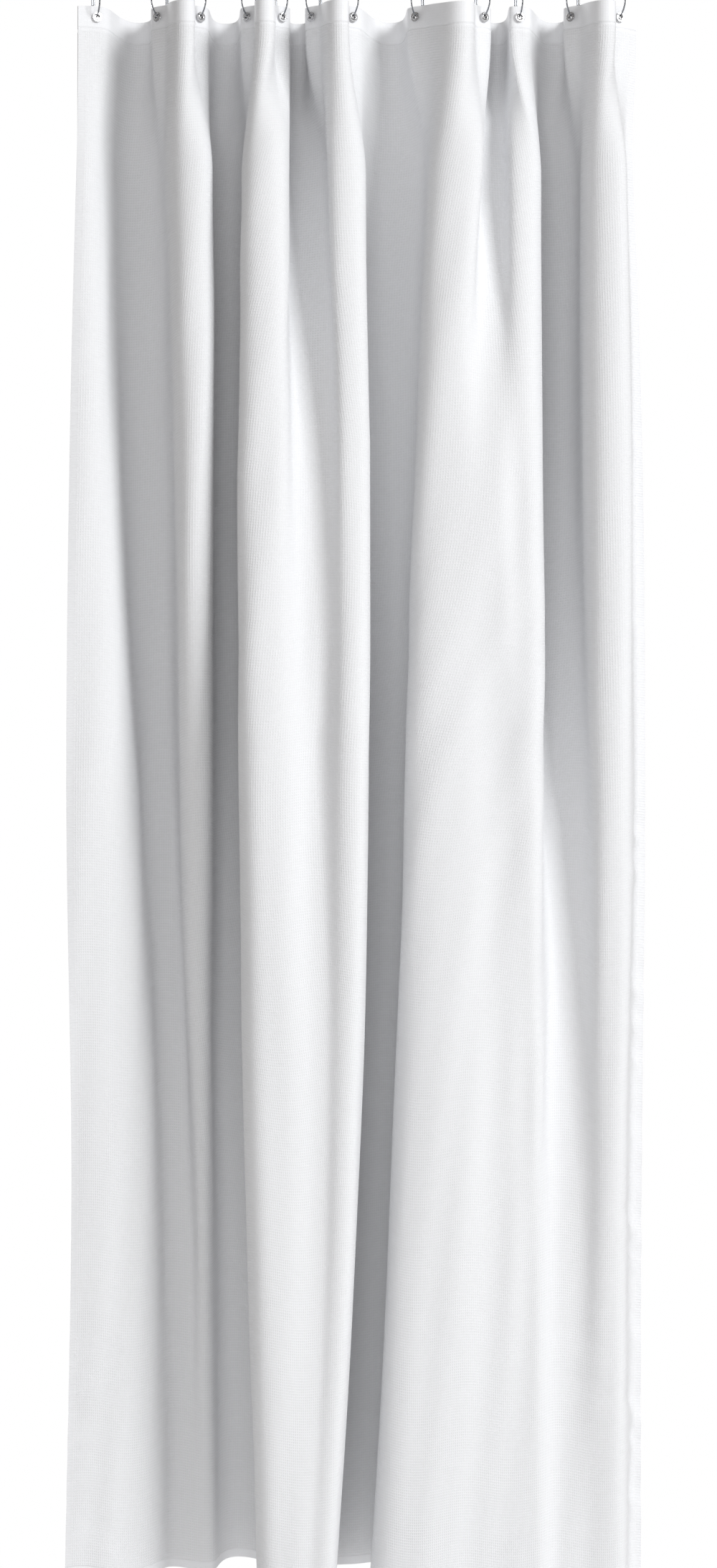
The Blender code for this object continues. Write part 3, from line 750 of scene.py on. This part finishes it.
between_seams = every_level[(DOWN > HEADER_HEIGHT) & (DOWN < BOTTOM_HEM_TOP)]
for name, node, columns, levels in (
    ("header_seam", "header_stitching", every_column, level_at(HEADER_LINE)),
    ("foot_seam", "bottom_stitching", every_column[1:-1], level_at(BOTTOM_HEM_TOP + SEAM_INSET)),
    ("left_seam", "left_stitching", column_at(SIDE_HEM_WIDTH - SEAM_INSET), between_seams),
    ("right_seam", "right_stitching", column_at(CLOTH_WIDTH - SIDE_HEM_WIDTH + SEAM_INSET), between_seams),
):
    stitches = stitching.make(
        seam_line(name, columns, levels),
        Pitch=STITCH_PITCH, Stitch_length=STITCH_LENGTH, Thread_diameter=THREAD, Thread=thread_look)
    dress(stitches, thread_look, "thread", "curtain", node)
    gather(stitches)

# ---- eyelets and washers ----
# Each eyelet is pressed from thin nickel-plated brass: a domed flange on the front, and a barrel that goes
# through the cloth and the band and is rolled over a flat washer behind.
# The bore, the barrel, its hole in the cloth and the flange are radii. The rest are heights and
# thicknesses.
BORE = 0.0055 / 2
SHEET_METAL = 0.0005
BARREL = BORE + SHEET_METAL
HOLE = BARREL + GAP
FLANGE = 0.0125 / 2
FLANGE_HEIGHT = 0.0009
WASHER_THICKNESS = 0.0006
FLANGE_FRONT = GAP + FLANGE_HEIGHT
WASHER_FRONT = -(BEHIND + BAND_THICKNESS + GAP)
WASHER_BACK = WASHER_FRONT - WASHER_THICKNESS
LIP_FRONT = WASHER_BACK - GAP
LIP_BACK = LIP_FRONT - SHEET_METAL
BARREL_MIDDLE = (FLANGE_FRONT + LIP_BACK) / 2
ROUND = 48
EYELET_SHARP_ANGLE = radians(40)

turning = Tree("turning", (
    ("Metal", "NodeSocketMaterial"), ("Radius", "NodeSocketFloat"), ("Sides", "NodeSocketInt"),
))
section = turning.node("GeometryNodeMeshToCurve", {}, {"Mesh": turning.given("Geometry")})
circle = turning.node("GeometryNodeCurvePrimitiveCircle", {},
                      {"Resolution": turning.given("Sides"), "Radius": turning.given("Radius")})
shell = turning.node("GeometryNodeCurveToMesh", {}, {"Curve": circle, "Profile Curve": section})
turning.end(shell, turning.given("Metal"))


HAZE_SCALE, HAZE_SPREAD, HAZE_DARKENING = 400.0, 0.12, 0.86
HAIRLINE_SCALE, HAIRLINE_DEPTH = 2500.0, 0.00001


def metal_material(name, colour, roughness):
    """Plated metal with a faint haze and hairline scratches."""
    made, shader, start = new_material(name, roughness, 1.0)
    place = start.node("ShaderNodeTexCoord", {}, {}, output=3)
    haze = start.node("ShaderNodeTexNoise", {}, {"Vector": place, "Scale": HAZE_SCALE, "Detail": 3.0})
    hazy_roughness = haze * HAZE_SPREAD + (roughness - HAZE_SPREAD / 2)
    start.tree.links.new(hazy_roughness.socket, shader.inputs["Roughness"])
    worn = tuple(c * HAZE_DARKENING for c in colour)
    start.tree.links.new(haze.blend(worn, colour).socket, shader.inputs["Base Color"])
    scratches = {"Vector": place, "Scale": HAIRLINE_SCALE, "Detail": 2.0}
    hairlines = start.node("ShaderNodeTexNoise", {}, scratches)
    bump = start.node("ShaderNodeBump", {}, {"Height": hairlines, "Distance": HAIRLINE_DEPTH})
    start.tree.links.new(bump.socket, shader.inputs["Normal"])
    return made


def facing(turn):
    """A turn that takes local +Z to the front, turned to the right by this many radians."""
    ahead = Vector((sin(turn), -cos(turn), 0.0))
    up = Vector((0.0, 0.0, 1.0))
    return Matrix((up.cross(ahead), up, ahead)).transposed().to_4x4()


def eyelet_frame(k):
    x, y = places_on(HEADER_SECTION, np.array([EYELET_MARGIN + k * PITCH]))[0]
    return Matrix.Translation((x, y, EYELET_Z)) @ facing(RING_TURNS[k] * EYELET_TURN)


def turned_piece(name, profile, place, look):
    """A ring turned about local Z from its closed profile of (radius, height), in its place."""
    mesh = bpy.data.meshes.new(name)
    mesh.from_pydata([(radius - FLANGE, height, 0.0) for radius, height in profile],
                     [(i, (i + 1) % len(profile)) for i in range(len(profile))], [])
    piece = turning.make(made_piece(name, mesh), Metal=look, Radius=FLANGE, Sides=ROUND)
    piece.data.transform(place)
    piece.data.set_sharp_from_angle(angle=EYELET_SHARP_ANGLE)
    return piece


def rounded(corner, radius, start, end, count=5):
    """Points on an arc about a corner's middle, its angles in degrees from outwards towards the front."""
    return [(corner[0] + radius * cos(radians(a)), corner[1] + radius * sin(radians(a)))
            for a in np.linspace(start, end, count)]


# The flange's outer edge is a short rim under a dome. The bore's mouth, the foot of the rolled lip, its
# edge and the washer's edge are rounded to these radii, and the lip reaches over the washer.
DOME_ROUND = (FLANGE_FRONT - GAP) * 0.8
RIM_HEIGHT = 0.0001
MOUTH_ROUND = 0.0005
ROLL_ROUND = 0.0003
EDGE_ROUND = 0.0002
LIP_REACH = 0.0007
eyelet_profile = (
    rounded((FLANGE - DOME_ROUND, GAP + RIM_HEIGHT), DOME_ROUND, 0, 75, 6)
    + [((FLANGE + BORE) / 2, FLANGE_FRONT)]
    + rounded((BORE + MOUTH_ROUND, FLANGE_FRONT - MOUTH_ROUND), MOUTH_ROUND, 100, 180, 5)
    + [(BORE, LIP_BACK + ROLL_ROUND)]
    + rounded((BORE + ROLL_ROUND, LIP_BACK + ROLL_ROUND), ROLL_ROUND, 200, 270, 3)
    + rounded((HOLE + (LIP_REACH - EDGE_ROUND), LIP_BACK + EDGE_ROUND), EDGE_ROUND, 270, 360, 3)
    + [(HOLE + LIP_REACH, LIP_FRONT), (BARREL, LIP_FRONT), (BARREL, GAP), (FLANGE, GAP)]
)
washer_profile = [(HOLE, WASHER_FRONT), (HOLE, WASHER_BACK), (FLANGE - EDGE_ROUND, WASHER_BACK),
                  (FLANGE, WASHER_BACK + EDGE_ROUND), (FLANGE, WASHER_FRONT)]
eyelet_look = metal_material("bright_nickel", (0.74, 0.74, 0.75), 0.16)
washer_look = metal_material("nickel_washer", (0.66, 0.66, 0.67), 0.25)
for k in range(EYELETS):
    body = "curtain" if k == 0 else f"eyelet_set_{k + 1:02d}"
    number = f"{k + 1:02d}"
    eyelet = turned_piece(f"grommet_{number}", eyelet_profile, eyelet_frame(k), eyelet_look)
    dress(eyelet, eyelet_look, "eyelet_metal", body, f"eyelet_{number}")
    washer = turned_piece(f"back_washer_{number}", washer_profile, eyelet_frame(k), washer_look)
    dress(washer, washer_look, "washer_metal", body, f"washer_{number}")

# ---- rings ----
# Each ring is one piece of 2 mm chromed spring wire. It goes through its eyelet and over the rod, and its
# two ends overlap side by side on the back leg, where it springs open.
ROD_DIAMETER = 0.025
WIRE = 0.0020
RING_WIDTH = 0.040
RING_BELOW_ROD = 0.055
RING_FOOT_RADIUS = 0.0205
CATCH_START = 0.017
CATCH_LENGTH = 0.012
CATCH_GAP = 0.0006
CATCH_EASE = 0.005
# The foot's arc runs between these angles, and the front leg is straight from this share of its radius up.
FOOT_START, FOOT_END = -145, -35
LEG_START = 0.85
WIRE_SHARP_ANGLE = radians(50)


def arc(centre, radius, start, end, steps):
    """Points on an arc in the ring's plane, its angles in degrees from ahead towards up."""
    return [(0.0, centre[0] + radius * cos(radians(a)), centre[1] + radius * sin(radians(a)))
            for a in np.linspace(start, end, steps)]


def smooth_line(points, between):
    """A smooth line through the points, with this many more between each two."""
    points = np.array(points)
    ends = np.vstack([2 * points[0] - points[1], points, 2 * points[-1] - points[-2]])
    u = np.linspace(0, 1, between + 1, endpoint=False)[:, None]
    parts = []
    for a, b, c, d in zip(ends, ends[1:], ends[2:], ends[3:]):
        squared, cubed = 2 * a - 5 * b + 4 * c - d, 3 * b - a - 3 * c + d
        parts.append(0.5 * (2 * b + (c - a) * u + squared * u**2 + cubed * u**3))
    return np.vstack([*parts, points[-1:]])


# The wire's cut ends are rounded off. These are the steps in from an end, as shares of the wire's radius,
# with its girth at each.
END_ROUNDING = ((0.0, 0.35), (0.12, 0.62), (0.4, 0.88), (1.0, 1.0))


def ring_path():
    """The middle of the wire as (sideways, ahead, up) from the ring's foot, which is in the eyelet."""
    half = RING_WIDTH / 2
    crown_up = RING_BELOW_ROD + (ROD_DIAMETER + WIRE) / 2 + GAP - half
    catch_top = CATCH_START + CATCH_LENGTH
    beside = (WIRE + CATCH_GAP) / 2
    foot = arc((0, RING_FOOT_RADIUS), RING_FOOT_RADIUS, FOOT_START, FOOT_END, 9)
    crown = arc((0, crown_up), half, 0, 180, 10)
    leg = [(0.0, half, RING_FOOT_RADIUS * LEG_START)]
    start = [(beside, -half, catch_top), (beside, -half, CATCH_START),
             (0.0, -half, CATCH_START - CATCH_EASE)]
    end = [(0.0, -half, catch_top + CATCH_EASE), (-beside, -half, catch_top),
           (-beside, -half, CATCH_START)]
    line = smooth_line(start + foot + leg + crown + end, 5)

    def rounded_end(tip, inner):
        return [tip + share * WIRE / 2 * (inner - tip) / np.linalg.norm(inner - tip)
                for share, _ in END_ROUNDING]

    first, last = rounded_end(line[0], line[1]), rounded_end(line[-1], line[-2])
    return np.vstack([first, line[1:-1], last[::-1]])


bending = Tree("bending", (("Wire diameter", "NodeSocketFloat"), ("Metal", "NodeSocketMaterial")))
wire_line = bending.node("GeometryNodeMeshToCurve", {}, {"Mesh": bending.given("Geometry")})
wire_radius = bending.times(bending.given("Wire diameter"), 0.5)
wire_round = bending.node(
    "GeometryNodeCurvePrimitiveCircle", {}, {"Resolution": 14, "Radius": wire_radius})
girth = bending.node("GeometryNodeInputNamedAttribute", {"data_type": "FLOAT"}, {"Name": "girth"})
wire_mesh = bending.node("GeometryNodeCurveToMesh", {}, {
    "Curve": wire_line, "Profile Curve": wire_round, "Scale": girth, "Fill Caps": True,
})
bending.end(wire_mesh, bending.given("Metal"))

# The wire's base colour is darker than chrome's own. It is a painted dark reflection, which stands in for
# dark surroundings mirrored in the chrome.
wire_look = metal_material("chrome_wire", (0.30, 0.31, 0.33), 0.10)
path = ring_path()
end_girths = [girth for _, girth in END_ROUNDING]
plain_girths = np.ones(len(path) - 2 * len(end_girths))
girths = np.concatenate([end_girths, plain_girths, end_girths[::-1]])
for k in range(EYELETS):
    number = f"{k + 1:02d}"
    x, y, _ = eyelet_frame(k) @ Vector((0, 0, BARREL_MIDDLE))
    place = Matrix.Translation((x, y, -RING_BELOW_ROD)) @ facing(RING_TURNS[k])
    mesh = bpy.data.meshes.new(f"wire_ring_{number}")
    points = [place @ Vector((sideways, up, ahead)) for sideways, ahead, up in path]
    mesh.from_pydata(points, [(i, i + 1) for i in range(len(points) - 1)], [])
    mesh.attributes.new("girth", "FLOAT", "POINT").data.foreach_set("value", girths)
    ring = bending.make(made_piece(f"wire_ring_{number}", mesh), Wire_diameter=WIRE, Metal=wire_look)
    ring.data.set_sharp_from_angle(angle=WIRE_SHARP_ANGLE)
    dress(ring, wire_look, "ring_wire", f"ring_body_{number}", f"ring_{number}")
